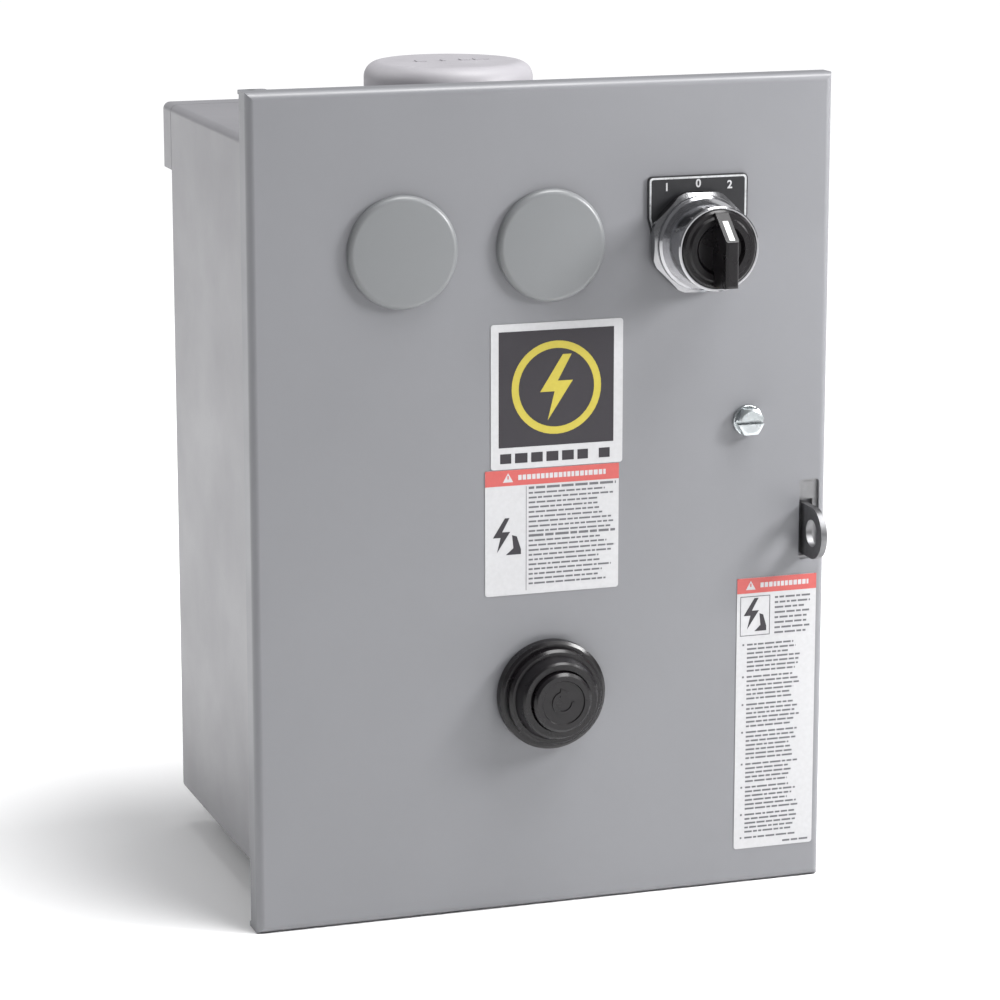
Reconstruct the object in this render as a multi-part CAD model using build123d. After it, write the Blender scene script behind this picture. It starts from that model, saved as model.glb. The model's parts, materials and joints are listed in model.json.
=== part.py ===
from build123d import *
import math
import os

os.makedirs("parts", exist_ok=True)

# A wall-mounted magnetic motor starter: a sheet-steel cabinet with a hinged pan door that carries the
# operators, and a contactor with an overload relay inside.
# Millimetres. x runs to the right, y into the wall, z up. The origin is on the wall plane, at the centre
# of the four wall holes.

# ---- cabinet ----
SHEET = 1.5
BODY_W = 222.0
BODY_H = 294.0
BODY_DEPTH = 148.0            # from the rear face to the back of the front rim
STAND_OFF = 14.0              # the cabinet's back stands this far from the wall
BODY_BEND = 3.0               # outside bend radius of the cabinet's long edges
REAR_BEND = 0.5               # edge radius round the cabinet's rear face
RIM_SIDE = 5.5                # front rim, outward from the side walls
RIM_TOP = 17.0
RIM_BOTTOM = 11.5
BACK = -STAND_OFF
RIM_BACK = BACK - BODY_DEPTH
RIM_FRONT = RIM_BACK - SHEET
WALL_X = BODY_W / 2
WALL_Z = BODY_H / 2
INNER_X = WALL_X - SHEET
INNER_Z = WALL_Z - SHEET
BACK_INSIDE = BACK - SHEET

# ---- wall mounting ----
WALL_HOLE_R = 3.5
WALL_HOLE_X = 80.0
WALL_HOLE_Z = 133.5
BRACKET_H = 27.0
RAIL_W = 192.0

# ---- door ----
DOOR_W = 238.5
DOOR_H = 330.0
DOOR_OVER_TOP = 21.0          # the door stands this far above the cabinet's top
DOOR_FRONT = RIM_FRONT - 4.5
DOOR_BACK = DOOR_FRONT + SHEET
DOOR_X = DOOR_W / 2
DOOR_TOP = WALL_Z + DOOR_OVER_TOP
DOOR_BOTTOM = DOOR_TOP - DOOR_H
FLANGE = 10.5                 # depth of the door's flanges
HINGE_TAB = 3.5               # extra depth of the flange at each hinge
HINGE_TAB_W = 11.0
DOOR_BEND = 3.0
GASKET_T = 2.7
GASKET_W = 4.0
GASKET_LEFT = -110.0          # inner edge of the gasket's left strip
GASKET_RIGHT = 112.2
GASKET_TOP = 151.0
GASKET_BOTTOM = -151.0

# ---- hinge ----
HINGE_X = -DOOR_X + 5.0
HINGE_Y = DOOR_FRONT + FLANGE + 1.0
PIN_R = 1.6
PIN_PLAY = 0.06
EAR_R = 3.2
EAR_T = 1.5
EAR_GAP = 0.4                 # between the ear and the door's flange
EAR_LEG = 12.5

# ---- operators on the door ----
OP_HOLE_R = 15.3              # knockout for a 30 mm operator
COLLAR_R = 15.0
OP_ROW_Z = 105.2
PLUG_X = (-58.75, 1.35)
PLUG_R = 22.0
PLUG_T = 4.0
PLUG_DOME = 0.8               # rise of the plug's face at its centre
PLUG_EDGE = 2.2
SELECTOR_X, SELECTOR_Z = 62.1, 104.0
NUT_T = 5.0
NUT_R = 19.6                  # centre to flat of the eight-sided nut
LEGEND_T = 1.2
BEZEL_FLANGE_R = 18.6
BEZEL_BARREL_R = 16.2
BEZEL_LIP_R = 16.6
BEZEL_LIP = 24.0              # the bezel's front lip, in front of the door
KNOB_R = 15.2
KNOB_FACE = 26.0              # knob disc, in front of the door
KNOB_TIP = 38.0               # knob ridge, in front of the door
RIDGE_T = 5.4
RIDGE_TOP = 4.5               # where the ridge's front meets its sloping end
COLLAR_END = 15.0             # the selector's collar, behind the door
SELECTOR_GASKET_T = 1.5
MOUNT_BACK = 18.0             # the selector's mounting body, behind the door
CONTACT_BLOCK_D = 32.0
SHAFT_R = 5.0
RUN_PLAY = 0.05               # radial play of a turning or sliding fit
THREAD_FIT = 0.02             # radial play drawn between a nut and its thread
RESET_X, RESET_Z = 1.25, -73.8
BUTTON_R = 12.0
BUTTON_FACE = 18.0
RESET_TRAVEL = 5.0
BUTTON_DEPTH = 13.0           # the button, from its face to its shoulder
GUARD_END = 12.0              # the guard's collar, behind the door
SCREW_X, SCREW_Z = 84.55, 30.9
SCREW_R = 3.0
SCREW_HEAD_H = 5.0
SCREW_FLANGE_R = 6.2

# ---- padlock tab ----
TAB_T = 2.5
TAB_Z = -15.0
TAB_HALF = 10.5
TAB_OUT = 20.0                # reach in front of the door
EYE_R = 5.5
EYE_OUT = 10.0
CUTOUT_X = (107.75, 116.25)
CUTOUT_Z = (-28.0, 5.0)

# ---- hub plate on the cabinet's top ----
HUB_X, HUB_Y = -2.25, -51.0
HUB_R = 34.9
HUB_RISE = 18.3
HUB_FLANGE_T = 2.5
HUB_GASKET_T = 1.0
HUB_END_R = 9.5
HUB_OPENING_R = 30.0
HUB_SCREW_X = 54.0

# ---- knockouts in the cabinet's bottom, as (x, radius) ----
KNOCKOUT_Y = -62.0
KNOCKOUTS = ((-62.0, 11.0), (0.0, 14.0), (62.0, 11.0))
KNOCKOUT_GAP = 0.4
KNOCKOUT_TIE = 2.0

# ---- starter inside ----
PAN_FRONT = -22.0
STARTER_X = 1.5
STARTER_W = 80.0
POLE_PITCH = 25.5
POLES = [STARTER_X + POLE_PITCH * i for i in (-1, 0, 1)]
CON_TOP, CON_BOTTOM = 62.0, -36.0
CON_FRONT = -95.0
PLATE_FRONT = -24.0
CHANNEL_W = 19.0
CHANNEL_BACK = -70.0
COVER_T = 12.0
ARMATURE_TRAVEL = 3.7
OL_TOP, OL_BOTTOM = -38.0, -108.0
OL_FRONT = -105.0
LEVER_R = 5.0
LEVER_FRONT = OL_FRONT - 10.0
LEVER_BACK = OL_FRONT + 7.0

# ---- contactor's moving parts ----
CORE_BACK = PLATE_FRONT
CORE_FACE = -48.0
CORE_Z = (0.0, 26.0)
CHAMBER_X = (STARTER_X - 27, STARTER_X + 27)
CHAMBER_Z = (-12.0, 38.0)
STEM_HALF = 8.0
BAR_Z = (4.0, 22.0)
CARRIER_BACK = -78.0
CARRIER_FRONT = -89.0
BRIDGE_Z = (-12.0, 38.0)
BRIDGE_HALF = 2.6
CONTACT_Z = (-8.5, 34.5)
COVER_Z = (-14.0, 40.0)
COVER_SCREW_Z = 13.0
COVER_SCREW_X = 33.5          # the cover's screws, either side of the middle
BRIDGE_FRONT = CARRIER_FRONT + 3.4
BRIDGE_BACK = BRIDGE_FRONT + 1.4
TIP_T = 1.6                   # moving contact's silver button
FIXED_TIP_T = 1.4
GAP = 0.3                     # left between two moving bodies at the end of their travel
ARMATURE_FACE = CORE_FACE - ARMATURE_TRAVEL - GAP
STRAP_FRONT = BRIDGE_BACK + TIP_T + ARMATURE_TRAVEL + GAP + FIXED_TIP_T

# ---- derived places on the door ----
RESET_SHOULDER = DOOR_BACK + 6.5
OPERATORS = [(x, OP_ROW_Z) for x in PLUG_X] + [(SELECTOR_X, SELECTOR_Z), (RESET_X, RESET_Z)]
PAN_FIXINGS = [(x, z) for x in (-86.0, 86.0) for z in (-104.0, 98.0)]

# ---- labels ----
LABEL_T = 0.25
LABELS = {
    "label_centre_upper": (-23.0, 31.6, 17.6, 75.0),
    "label_centre_lower": (-25.4, 30.2, -33.0, 17.3),
    "label_side": (81.3, 115.7, -147.5, -34.0),
}


# ---------------------------------------------------------------- helpers
def block(x0, x1, y0, y1, z0, z1):
    """A box between two corners."""
    box = Box(abs(x1 - x0), abs(y1 - y0), abs(z1 - z0))
    return Pos((x0 + x1) / 2, (y0 + y1) / 2, (z0 + z1) / 2) * box


def disc(x, z, r, front, back):
    """A cylinder along y."""
    return Pos(x, (front + back) / 2, z) * Rot(90, 0, 0) * Cylinder(r, abs(back - front))


def post(x, y, r, z0, z1):
    """A cylinder along z."""
    return Pos(x, y, (z0 + z1) / 2) * Cylinder(r, abs(z1 - z0))


def cross_pin(y, z, r, x0, x1):
    """A cylinder along x."""
    return Pos((x0 + x1) / 2, y, z) * Rot(0, 90, 0) * Cylinder(r, abs(x1 - x0))


def ring(x, z, r_out, r_in, front, back):
    """A tube along y."""
    return disc(x, z, r_out, front, back) - disc(x, z, r_in, front - 1, back + 1)


def prism(points, front, back):
    """A polygon of (x, z) points pushed from front to back along y."""
    face = make_face(Polyline(*[(px, pz) for px, pz in points], close=True))
    return Pos(0, back, 0) * Rot(90, 0, 0) * extrude(face, back - front)


def turned(x, z, points):
    """A (radius, y) outline turned about the y axis through (x, z)."""
    face = make_face(Polyline(*[(r, y, 0) for r, y in points], close=True))
    return Pos(x, 0, z) * revolve(face, Axis.Y, 360)


def hex_head(x, z, across, front, back):
    """A hexagonal head along y with a chamfered front."""
    outline = RegularPolygon(across / 2, 6, major_radius=False)
    head = Pos(x, back, z) * Rot(90, 0, 0) * extrude(outline, back - front)
    rim = across * 0.52
    dome = turned(x, z, [(0, back), (rim + 2, back), (rim + 2, front + 1.2), (rim - 1, front), (0, front)])
    return head & dome


def slotted(head, x, z, front, width, depth, length=40.0):
    """Cuts a screwdriver slot along x in a head's front."""
    half_l, half_w = length / 2, width / 2
    return head - block(x - half_l, x + half_l, front - 1, front + depth, z - half_w, z + half_w)


def screw_head(x, z, seat, r):
    """A round slotted screw head along y, resting on the plane y = seat."""
    front = seat - r * 0.55
    head = fillet(disc(x, z, r, front, seat).edges().sort_by(Axis.Y)[0], r * 0.3)
    return slotted(head, x, z, front, r * 0.28, r * 0.3)


def coil_spring(x, z, r, wire, front, back, turns):
    """A round-wire spring along y, between two planes."""
    length = back - front - wire
    path = Helix(length / turns, length, r)
    start = Plane(path @ 0, z_dir=path % 0)
    spring = sweep(start * Circle(wire / 2), path)
    return Pos(x, back - wire / 2, z) * Rot(90, 0, 0) * spring


def save(name, shape):
    export_step(shape, f"parts/{name}.step")


# ---------------------------------------------------------------- cabinet
def enclosure_body():
    outer = block(-WALL_X, WALL_X, RIM_FRONT, BACK, -WALL_Z, WALL_Z)
    outer = fillet(outer.edges().filter_by(Axis.Y), BODY_BEND)
    outer = fillet(outer.faces().sort_by(Axis.Y)[-1].edges(), REAR_BEND)
    inner = block(-INNER_X, INNER_X, RIM_FRONT - 1, BACK_INSIDE, -INNER_Z, INNER_Z)
    inner = fillet(inner.edges().filter_by(Axis.Y), BODY_BEND - SHEET)
    rim = block(-WALL_X - RIM_SIDE, WALL_X + RIM_SIDE, RIM_FRONT, RIM_BACK,
                -WALL_Z - RIM_BOTTOM, WALL_Z + RIM_TOP)
    body = outer + rim - inner
    for sx in (-1, 1):
        for sz in (-1, 1):
            body -= disc(sx * WALL_HOLE_X, sz * WALL_HOLE_Z, WALL_HOLE_R, BACK_INSIDE - 1, BACK + 1)
        body -= post(HUB_X + sx * HUB_SCREW_X, HUB_Y, 2.5, INNER_Z - 1, WALL_Z + 1)
    body -= post(HUB_X, HUB_Y, HUB_OPENING_R, INNER_Z - 1, WALL_Z + 1)
    for x, r in KNOCKOUTS:
        body -= post(x, KNOCKOUT_Y, r, -WALL_Z - 1, -INNER_Z + 1)
    return body


def knockout_slugs():
    """Punched discs that two small ties still hold in the bottom wall."""
    slugs = []
    for x, r in KNOCKOUTS:
        slug = post(x, KNOCKOUT_Y, r - KNOCKOUT_GAP, -WALL_Z, -INNER_Z)
        slug += block(x - r, x + r, KNOCKOUT_Y - KNOCKOUT_TIE / 2, KNOCKOUT_Y + KNOCKOUT_TIE / 2,
                      -WALL_Z, -INNER_Z) & post(x, KNOCKOUT_Y, r, -WALL_Z, -INNER_Z)
        slugs.append(slug)
    return Compound(children=slugs)


def wall_pan(half_width, z0, z1, top_bend=0.0):
    """A shallow pan that closes against the cabinet's back, with two wall holes."""
    outer = block(-half_width, half_width, BACK, 0, z0, z1)
    if top_bend:
        outer = fillet(outer.edges().filter_by(Axis.Y).group_by(Axis.Z)[-1], top_bend)
    outer = fillet(outer.faces().sort_by(Axis.Y)[-1].edges(), 1.8)
    pan = outer - block(-half_width + SHEET, half_width - SHEET, BACK - 1, -SHEET, z0 + SHEET, z1 - SHEET)
    for sx in (-1, 1):
        pan -= disc(sx * WALL_HOLE_X, (z0 + z1) / 2, WALL_HOLE_R, -SHEET - 1, 1)
    return pan


def hinge_ear(level, direction):
    """One welded angle bracket: a leg behind the rim and an ear with the pin hole."""
    z0, z1 = sorted((level, level - direction * EAR_T))
    foot_x = (HINGE_X + 6.0, HINGE_X + 18.0)
    reach = HINGE_Y + 3.0
    plate = block(HINGE_X, foot_x[1], RIM_BACK, reach, z0, z1) - block(
        HINGE_X - 1, HINGE_X + 4.0, RIM_BACK - 1, HINGE_Y - EAR_R, z0 - 1, z1 + 1)
    ear = plate + post(HINGE_X, HINGE_Y, EAR_R, z0, z1)
    leg = block(*foot_x, RIM_BACK, RIM_BACK + EAR_T, *sorted((level, level - direction * EAR_LEG)))
    return ear + leg - post(HINGE_X, HINGE_Y, PIN_R + PIN_PLAY, z0 - 1, z1 + 1)


def hinge_brackets():
    return Compound(children=[hinge_ear(DOOR_TOP - SHEET - EAR_GAP, 1),
                              hinge_ear(DOOR_BOTTOM + SHEET + EAR_GAP, -1)])


def latch_bracket():
    """The padlock tab: a strip on the side wall, joggled outward, with a rounded eye."""
    inside, welded = INNER_X, RIM_BACK + 24.0
    joggle, step = RIM_FRONT - 0.6, 2.0
    tip = DOOR_FRONT - TAB_OUT
    strip = [(inside - TAB_T, welded), (inside, welded), (inside, joggle), (inside + step, joggle - 2.4),
             (inside + step, tip), (inside + step - TAB_T, tip), (inside + step - TAB_T, joggle - 2.4 - 0.5),
             (inside - TAB_T, joggle - 0.5)]
    plate = extrude(make_face(Polyline(*strip, close=True)), TAB_HALF, both=True)
    plate = Pos(0, 0, TAB_Z) * plate
    nose_y = tip + TAB_HALF
    outline = block(0, DOOR_X, nose_y, welded, TAB_Z - TAB_HALF, TAB_Z + TAB_HALF)
    outline += cross_pin(nose_y, TAB_Z, TAB_HALF, 0, DOOR_X)
    return (plate & outline) - cross_pin(DOOR_FRONT - EYE_OUT, TAB_Z, EYE_R, INNER_X - 5, DOOR_X)


def screw_catch():
    """An angle bracket on the side wall that the cover screw enters."""
    front, reach = DOOR_BACK + 8.5, 36.0
    plate = block(INNER_X - reach, INNER_X, front, front + SHEET, SCREW_Z - 9, SCREW_Z + 9)
    plate += block(INNER_X - SHEET, INNER_X, front, front + 16, SCREW_Z - 9, SCREW_Z + 9)
    return plate - disc(SCREW_X, SCREW_Z, SCREW_R + 1.0, front - 1, front + SHEET + 1)


def hub_outline(z0, z1):
    """The two-bolt flange outline: a round middle and two narrower ends."""
    middle = post(HUB_X, HUB_Y, HUB_R + 1.6, z0, z1)
    ends = [post(HUB_X + s * HUB_SCREW_X, HUB_Y, HUB_END_R, z0, z1) for s in (-1, 1)]
    bar = block(HUB_X - HUB_SCREW_X, HUB_X + HUB_SCREW_X, HUB_Y - HUB_END_R, HUB_Y + HUB_END_R, z0, z1)
    flange = middle + bar + ends[0] + ends[1]
    for s in (-1, 1):
        flange -= post(HUB_X + s * HUB_SCREW_X, HUB_Y, 2.5, z0 - 1, z1 + 1)
    return flange


def hub_gasket():
    gasket = hub_outline(WALL_Z, WALL_Z + HUB_GASKET_T)
    return gasket - post(HUB_X, HUB_Y, HUB_OPENING_R + 1, WALL_Z - 1, WALL_Z + 2)


def hub_closing_cap():
    base = WALL_Z + HUB_GASKET_T
    top = WALL_Z + HUB_RISE
    plate = hub_outline(base, base + HUB_FLANGE_T)
    dome = post(HUB_X, HUB_Y, HUB_R, base, top)
    dome = fillet(dome.edges().sort_by(Axis.Z)[-1], 6.5)
    marks = [block(HUB_X + x0, HUB_X + x1, HUB_Y - 2, HUB_Y + 2, top - 0.1, top + 0.4)
             for x0, x1 in ((-14, -10), (-3, -1.8), (5, 9), (11, 17))]
    cap = plate + dome
    for mark in marks:
        cap += mark
    hollow = post(HUB_X, HUB_Y, HUB_OPENING_R + 2, base - 1, top - 3.0)
    return cap - fillet(hollow.edges().sort_by(Axis.Z)[-1], 4.0)


def hub_screws():
    """Two hexagonal screws through the hub plate into the cabinet's top."""
    seat = WALL_Z + HUB_GASKET_T + HUB_FLANGE_T
    head_h, slot_depth = 4.6, 1.4
    screws = []
    for s in (-1, 1):
        x = HUB_X + s * HUB_SCREW_X
        head = Pos(x, HUB_Y, seat) * extrude(RegularPolygon(5.0, 6, major_radius=False), head_h)
        head = chamfer(head.edges().group_by(Axis.Z)[-1], 0.6)
        head -= block(x - 7, x + 7, HUB_Y - 0.6, HUB_Y + 0.6, seat + head_h - slot_depth, seat + head_h + 1)
        screws.append(head + post(x, HUB_Y, 2.4, WALL_Z - 6, seat))
    return Compound(children=screws)


def mounting_pan():
    half_w, z0, z1 = 95.0, -118.0, 112.0
    pan = block(-half_w, half_w, PAN_FRONT, PAN_FRONT + SHEET, z0, z1)
    for s in (-1, 1):
        edges = sorted((s * half_w, s * (half_w - SHEET)))
        pan += block(*edges, PAN_FRONT, BACK_INSIDE, z0, z1)
    for x, z in PAN_FIXINGS:
        pan -= disc(x, z, 2.6, PAN_FRONT - 1, PAN_FRONT + SHEET + 1)
    return pan


def pan_standoffs():
    """Threaded spacers welded on the cabinet's back."""
    return Compound(children=[ring(x, z, 5.0, 2.5, PAN_FRONT + SHEET, BACK_INSIDE) for x, z in PAN_FIXINGS])


def pan_screws():
    return Compound(children=[screw_head(x, z, PAN_FRONT, 4.6) + disc(x, z, 2.45, PAN_FRONT, BACK_INSIDE - 1)
                              for x, z in PAN_FIXINGS])


def ground_lug():
    """A box lug with a clamping screw, on the cabinet's back."""
    x, z, front, half, wire_r = 62.0, -130.0, BACK_INSIDE - 12.0, 6.0, 3.2
    foot = block(x - half, x + half, BACK_INSIDE - 2, BACK_INSIDE, z - half - 2, z + half + 2)
    box = block(x - half, x + half, front, BACK_INSIDE - 2, z - half, z + half)
    box -= post(x, front + half, wire_r, z - half - 1, z + half + 1)
    screw_front = front - 3
    screw = slotted(disc(x, z, wire_r, screw_front, front), x, z, screw_front, 1.0, 1.4)
    return foot + box + screw


# ---------------------------------------------------------------- contactor
def contactor_base_plate():
    half = STARTER_W / 2
    plate = block(STARTER_X - half, STARTER_X + half, PLATE_FRONT, PAN_FRONT, OL_BOTTOM - 8, CON_TOP + 8)
    return fillet(plate.edges().filter_by(Axis.Y), 4.0)


def base_plate_screws():
    z_top, z_low = CON_TOP + 4, OL_BOTTOM - 4
    return Compound(children=[screw_head(x, z, PLATE_FRONT, 3.4)
                              for x in (STARTER_X - 34, STARTER_X + 34) for z in (z_top, z_low)])


def contactor_housing():
    """A moulded block: a magnet chamber behind, three open contact channels in front."""
    half = STARTER_W / 2
    body = block(STARTER_X - half, STARTER_X + half, CON_FRONT, PLATE_FRONT, CON_BOTTOM, CON_TOP)
    body = fillet(body.edges().filter_by(Axis.Z), 2.0)
    body -= block(*CHAMBER_X, CHANNEL_BACK + 2.5, PLATE_FRONT + 1, *CHAMBER_Z)
    for x in POLES:
        body -= block(x - CHANNEL_W / 2, x + CHANNEL_W / 2, CON_FRONT - 1, CHANNEL_BACK,
                      CON_BOTTOM + 5, CON_TOP - 5)
        body -= block(x - 6, x + 6, CON_FRONT - 1, CHANNEL_BACK - 5, CON_BOTTOM - 1, CON_TOP + 1)
    body -= block(POLES[0] - 4, POLES[-1] + 4, CON_FRONT - 1, CARRIER_BACK + 5.5, BAR_Z[0] - 1, BAR_Z[1] + 1)
    stem = STEM_HALF + 0.8
    body -= block(STARTER_X - stem, STARTER_X + stem, CHANNEL_BACK - 4, CHANNEL_BACK + 4,
                  BAR_Z[0] - 1, BAR_Z[1] + 1)
    for x in (STARTER_X - COVER_SCREW_X, STARTER_X + COVER_SCREW_X):
        body -= disc(x, COVER_SCREW_Z, 1.6, CON_FRONT - 1, CON_FRONT + 10)
    return body


def magnet_core():
    """A laminated E: a back bar and three legs that face the armature."""
    x, (z0, z1) = STARTER_X, CORE_Z
    core = block(x - 24, x + 24, CORE_BACK - 10, CORE_BACK, z0, z1)
    for x0, x1 in ((-24, -16), (-7, 7), (16, 24)):
        core += block(x + x0, x + x1, CORE_FACE, CORE_BACK - 10, z0, z1)
    return core


def coil():
    """The winding round the core's middle leg."""
    x, (z0, z1) = STARTER_X, CORE_Z
    winding = block(x - 15.6, x + 15.6, CORE_FACE + 2, CORE_BACK - 10.4, z0 - 8, z1 + 8)
    winding = fillet(winding.edges().filter_by(Axis.Y), 4.0)
    return winding - block(x - 7.3, x + 7.3, CORE_FACE - 5, CORE_BACK, z0 - 0.3, z1 + 0.3)


def armature():
    x, (z0, z1) = STARTER_X, CORE_Z
    face = ARMATURE_FACE
    bar = block(x - 24, x + 24, face - 9, face - 2, z0, z1)
    for x0, x1 in ((-24, -16), (-7, 7), (16, 24)):
        bar += block(x + x0, x + x1, face - 2, face, z0, z1)
    for s in (-1, 1):
        bar += block(x + s * 20 - 4, x + s * 20 + 4, face - 9, face - 6, z0 - 11, z0)
    return bar


def contact_carrier():
    """A moulded stem and crossbar that the armature pushes."""
    stem = block(STARTER_X - STEM_HALF, STARTER_X + STEM_HALF, CARRIER_BACK, ARMATURE_FACE - 9, *BAR_Z)
    crossbar = block(POLES[0] - 3, POLES[-1] + 3, CARRIER_FRONT, CARRIER_BACK, *BAR_Z)
    for x in POLES:
        crossbar -= block(x - BRIDGE_HALF, x + BRIDGE_HALF, BRIDGE_FRONT, BRIDGE_BACK,
                          BAR_Z[0] - 1, BAR_Z[1] + 1)
    return stem + crossbar


def moving_contacts():
    """One bridge a pole, with a silver button at each end."""
    bridges = []
    for x in POLES:
        bridge = block(x - BRIDGE_HALF, x + BRIDGE_HALF, BRIDGE_FRONT, BRIDGE_BACK, *BRIDGE_Z)
        for z in CONTACT_Z:
            bridge += disc(x, z, 2.5, BRIDGE_BACK, BRIDGE_BACK + TIP_T)
        bridges.append(bridge)
    return Compound(children=bridges)


def fixed_contact(x, z_contact, z_end):
    """A strap from a fixed contact out to its terminal."""
    z0, z1 = sorted((z_contact - math.copysign(4, z_end), z_end))
    strap = block(x - 5, x + 5, STRAP_FRONT, STRAP_FRONT + 1.6, z0, z1)
    strap = fillet(strap.edges().filter_by(Axis.Y), 1.2)
    return strap + disc(x, z_contact, 3.0, STRAP_FRONT - FIXED_TIP_T, STRAP_FRONT)


def line_terminals():
    return Compound(children=[fixed_contact(x, CONTACT_Z[1], CON_TOP - 5.5) for x in POLES])


def load_straps():
    return Compound(children=[fixed_contact(x, CONTACT_Z[0], OL_TOP - 17) for x in POLES])


def terminal_screws(z):
    """A pressure plate and a slotted screw on each pole's strap."""
    seat = STRAP_FRONT - 1.6
    screws = []
    for x in POLES:
        plate = block(x - 5.4, x + 5.4, seat, STRAP_FRONT, z - 5, z + 5)
        screws.append(plate + screw_head(x, z, seat, 3.9))
    return Compound(children=screws)


def arc_cover():
    """A ribbed cover over the contacts, with a vent slot over each gap."""
    half = STARTER_W / 2 - 2
    z0, z1 = COVER_Z
    cover = block(STARTER_X - half, STARTER_X + half, CON_FRONT - COVER_T, CON_FRONT, z0, z1)
    long_edges = cover.faces().sort_by(Axis.Y)[0].edges().filter_by(Axis.X)
    cover = fillet(cover.edges().filter_by(Axis.Z) + long_edges, 1.5)
    cover -= block(POLES[0] - 8, POLES[-1] + 8, CON_FRONT - COVER_T + 3, CON_FRONT + 1, z0 + 3, z1 - 3)
    for x in POLES:
        for z in (z0 + 8, z1 - 12):
            cover -= block(x - 6, x + 6, CON_FRONT - COVER_T - 1, CON_FRONT, z, z + 4)
    for x in (STARTER_X - COVER_SCREW_X, STARTER_X + COVER_SCREW_X):
        cover -= disc(x, COVER_SCREW_Z, 1.6, CON_FRONT - COVER_T - 1, CON_FRONT + 1)
    return cover


def cover_screws():
    seat, r = CON_FRONT - COVER_T, 1.55
    z, end = COVER_SCREW_Z, seat + 18
    return Compound(children=[screw_head(x, z, seat, 3.0) + disc(x, z, r, seat, end)
                              for x in (STARTER_X - COVER_SCREW_X, STARTER_X + COVER_SCREW_X)])


def return_springs():
    """Two springs that push the armature away from the core."""
    return Compound(children=[coil_spring(STARTER_X + x, CHAMBER_Z[0] + 5.5, 3.0, 0.8,
                                          ARMATURE_FACE - 6, PLATE_FRONT, 7)
                              for x in (-20, 20)])


def holding_interlock():
    """The auxiliary contact block on the contactor's left side."""
    x1 = STARTER_X - STARTER_W / 2
    x0, z0, z1 = x1 - 14.0, -18.0, 32.0
    body = block(x0, x1, -88, -38, z0, z1)
    body = fillet(body.edges().filter_by(Axis.Z), 1.5)
    for z in (z0 + 8, z1 - 8):
        body -= block(x0 + 2, x1 - 2, -89, -80, z - 5.5, z + 5.5)
    return body


def interlock_screws():
    x = STARTER_X - STARTER_W / 2 - 7.0
    return Compound(children=[screw_head(x, z, -80.0, 3.4) for z in (-10.0, 24.0)])


def coil_terminals():
    """Two tab terminals on a small block at the contactor's right side."""
    x0 = STARTER_X + STARTER_W / 2
    body = block(x0, x0 + 9, -72, -52, 2, 30)
    body = fillet(body.edges().filter_by(Axis.Z), 1.5)
    for z in (9, 23):
        body += screw_head(x0 + 4.5, z, -72, 3.0)
    return body


# ---------------------------------------------------------------- overload relay
def overload_housing():
    half = STARTER_W / 2
    body = block(STARTER_X - half, STARTER_X + half, OL_FRONT, PLATE_FRONT, OL_BOTTOM, OL_TOP)
    body = fillet(body.edges().filter_by(Axis.Z), 2.0)
    for x in POLES:
        body -= block(x - 8, x + 8, OL_FRONT - 1, CHANNEL_BACK, OL_TOP - 18.5, OL_TOP + 1)
        body -= block(x - 9, x + 9, OL_FRONT - 1, OL_FRONT + 8, OL_BOTTOM + 3, OL_BOTTOM + 27)
    bridge = block(STARTER_X - 30, STARTER_X + 30, OL_FRONT - 4, OL_FRONT, RESET_Z - 6.5, RESET_Z + 9)
    body += fillet(bridge.faces().sort_by(Axis.Y)[0].edges(), 1.2)
    bore_end = LEVER_BACK + RESET_TRAVEL + 2
    body -= disc(RESET_X, RESET_Z, LEVER_R + RUN_PLAY + 0.03, OL_FRONT - 5, bore_end)
    for x in POLES:
        body -= block(x - 6, x + 6, OL_FRONT + 20, OL_FRONT + 34, OL_BOTTOM - 1, OL_BOTTOM + 2)
    return body


def thermal_units():
    """A heater element a pole: a plate with a round alloy pot."""
    units = []
    back = OL_FRONT + 8
    for x in POLES:
        z = OL_BOTTOM + 15
        unit = block(x - 8.6, x + 8.6, back - 2.4, back, z - 11.4, z + 11.4)
        unit += disc(x, z, 5.0, back - 6.5, back - 2.4)
        units.append(unit)
    return Compound(children=units)


def thermal_unit_screws():
    seat = OL_FRONT + 8 - 2.4
    z = OL_BOTTOM + 15
    return Compound(children=[screw_head(x + s * 5.6, z + s * 8.2, seat, 2.6)
                              for x in POLES for s in (-1, 1)])


def overload_terminals():
    """Load lugs under the relay, one a pole."""
    lugs = []
    half, depth, screw_z = 5.6, 12.0, OL_BOTTOM - 6.5
    front = OL_FRONT + 21
    screw_front = front - 2.5
    for x in POLES:
        lug = block(x - half, x + half, front, front + depth, OL_BOTTOM - 11, OL_BOTTOM + 2)
        lug -= post(x, front + depth / 2, 3.6, OL_BOTTOM - 12, OL_BOTTOM - 3)
        screw = disc(x, screw_z, 3.0, screw_front, front)
        lugs.append(lug + slotted(screw, x, screw_z, screw_front, 1.0, 1.4))
    return Compound(children=lugs)


def overload_reset_lever():
    lever = disc(RESET_X, RESET_Z, LEVER_R, LEVER_FRONT, LEVER_BACK)
    return fillet(lever.edges().sort_by(Axis.Y)[0], 1.0)


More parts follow.
